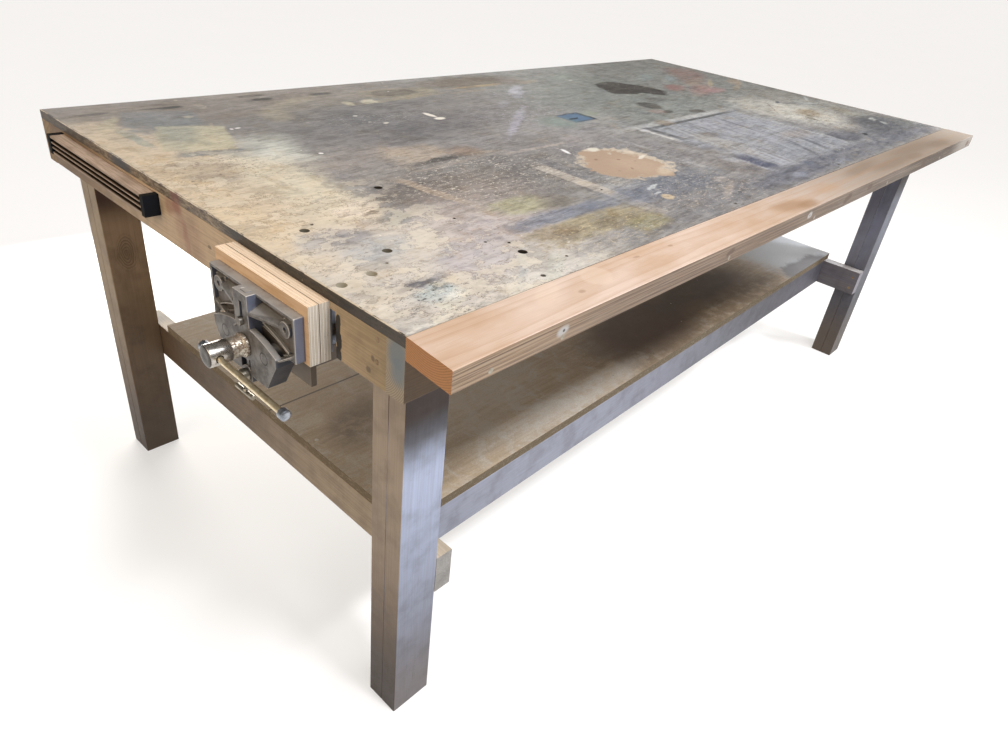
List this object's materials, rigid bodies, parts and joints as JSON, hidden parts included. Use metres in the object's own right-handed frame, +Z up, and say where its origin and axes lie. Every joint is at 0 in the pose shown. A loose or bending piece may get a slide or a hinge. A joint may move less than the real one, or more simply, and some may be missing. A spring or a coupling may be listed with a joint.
{
  "type": "assembly table",
  "caption": "Workshop assembly table: plywood top with a front plank on a timber frame, lower plywood shelf, slotted rail and a quick-release vise with plywood jaws on one end.",
  "frame": {"origin": "middle of the footprint, on the floor", "axes": "+X along the table from the vise's end to the other, +Y from the front plank to the back, +Z up"},
  "size_m": [2.5714, 1.315, 0.9],
  "materials": {
    "worn_top_plywood": "plywood under worn grey and cream paint",
    "black_edging": "matte black, scuffed",
    "fresh_pine": "planed pine, unfinished",
    "white_painted_timber": "softwood under worn white paint",
    "cream_timber": "softwood under yellowed cream paint",
    "raw_timber": "softwood, unfinished and aged",
    "dusty_shelf_plywood": "plywood, dusty and stained",
    "slotted_rail_wood": "matte beige with dark slots",
    "black_plastic": "matte black",
    "birch_plywood": "birch plywood, freshly cut",
    "grey_cast_iron": "as cast, thin grey paint",
    "bright_steel": "ground bright",
    "dull_steel": "oiled and a little rusty",
    "bright_hub": "bright, rubbed by hands",
    "brass_bar": "pale yellow passivated steel",
    "zinc_screws": "zinc plated, dulled"
  },
  "bodies": {
    "frame": {"top_panel": "worn_top_plywood", "edge_band_left": "black_edging", "edge_band_right": "black_edging", "front_plank": "fresh_pine", "front_apron": "white_painted_timber", "back_apron": "raw_timber", "left_apron": "cream_timber", "right_apron": "raw_timber", "joist_1": "raw_timber", "joist_2": "raw_timber", "joist_3": "raw_timber", "crossbar_left": "white_painted_timber", "crossbar_right": "white_painted_timber", "shelf_rail_front": "white_painted_timber", "shelf_rail_back": "raw_timber", "shelf_joist_1": "raw_timber", "shelf_joist_2": "raw_timber", "leg_front_left_outer": "white_painted_timber", "leg_front_left_inner": "white_painted_timber", "leg_front_right_outer": "white_painted_timber", "leg_front_right_inner": "white_painted_timber", "leg_back_left_outer": "white_painted_timber", "leg_back_left_inner": "white_painted_timber", "leg_back_right_outer": "white_painted_timber", "leg_back_right_inner": "white_painted_timber", "shelf_panel_front": "dusty_shelf_plywood", "shelf_panel_back": "dusty_shelf_plywood", "slotted_rail": "slotted_rail_wood", "rail_cap_front": "black_plastic", "rail_cap_back": "black_plastic", "vise_packer": "raw_timber", "vise_body": "grey_cast_iron", "inner_liner": "birch_plywood", "inner_liner_screws": "zinc_screws", "vise_bolts": "zinc_screws", "apron_screws": "zinc_screws", "crossbar_screws": "zinc_screws", "plank_screws": "zinc_screws", "shelf_screws": "zinc_screws", "top_screws": "zinc_screws"},
    "jaw": {"moving_jaw": "grey_cast_iron", "outer_liner": "birch_plywood", "outer_liner_screws": "zinc_screws", "guide_rod_front": "bright_steel", "guide_rod_back": "bright_steel", "tie_plate": "dull_steel", "tie_plate_screws": "zinc_screws"},
    "screw": {"lead_screw": "dull_steel", "screw_hub": "bright_hub", "hub_pin": "dull_steel", "screw_collar": "dull_steel"},
    "tommy_bar": {"tommy_bar": "brass_bar", "tommy_knobs": "bright_steel"},
    "dog": {"front_dog": "grey_cast_iron"},
    "clamp_screw": {"clamp_screw": "dull_steel"},
    "lever": {"release_lever": "dull_steel", "release_rod": "bright_steel", "release_spring": "dull_steel"},
    "half_nut": {"half_nut": "grey_cast_iron"}
  },
  "joints": [
    {"name": "screw_spin", "type": "hinge", "parent": "jaw", "child": "screw", "pos_m": [-1.22655, -0.2745, 0.776], "axis": [-1, 0, 0], "range_deg": [0, 10800]},
    {"name": "jaw_slide", "type": "slide", "parent": "frame", "child": "jaw", "axis": [-1, 0, 0], "range_m": [0, 0.1905]},
    {"name": "bar_slide", "type": "slide", "parent": "screw", "child": "tommy_bar", "axis": [0, 0.9996, 0.0279], "range_m": [0, 0.156]},
    {"name": "dog_slide", "type": "slide", "parent": "jaw", "child": "dog", "axis": [0, 0, 1], "range_m": [0, 0.028]},
    {"name": "clamp_screw_turn", "type": "hinge", "parent": "dog", "child": "clamp_screw", "pos_m": [-1.22645, -0.2745, 0.817], "axis": [1, 0, 0], "range_deg": [0, 120]},
    {"name": "release_lever_turn", "type": "hinge", "parent": "jaw", "child": "lever", "pos_m": [-1.22945, -0.2745, 0.722], "axis": [-1, 0, 0], "range_deg": [0, 50], "stiffness_Nm_per_rad": 0.6, "springref_deg": -20.05},
    {"name": "half_nut_drop", "type": "slide", "parent": "frame", "child": "half_nut", "axis": [0, 0, -1], "range_m": [0, 0.0026]}
  ],
  "couplings": [
    {"joint": "jaw_slide", "follows": "screw_spin", "m_per_rad": 0.0010106},
    {"joint": "half_nut_drop", "follows": "release_lever_turn", "m_per_rad": 0.00297}
  ]
}
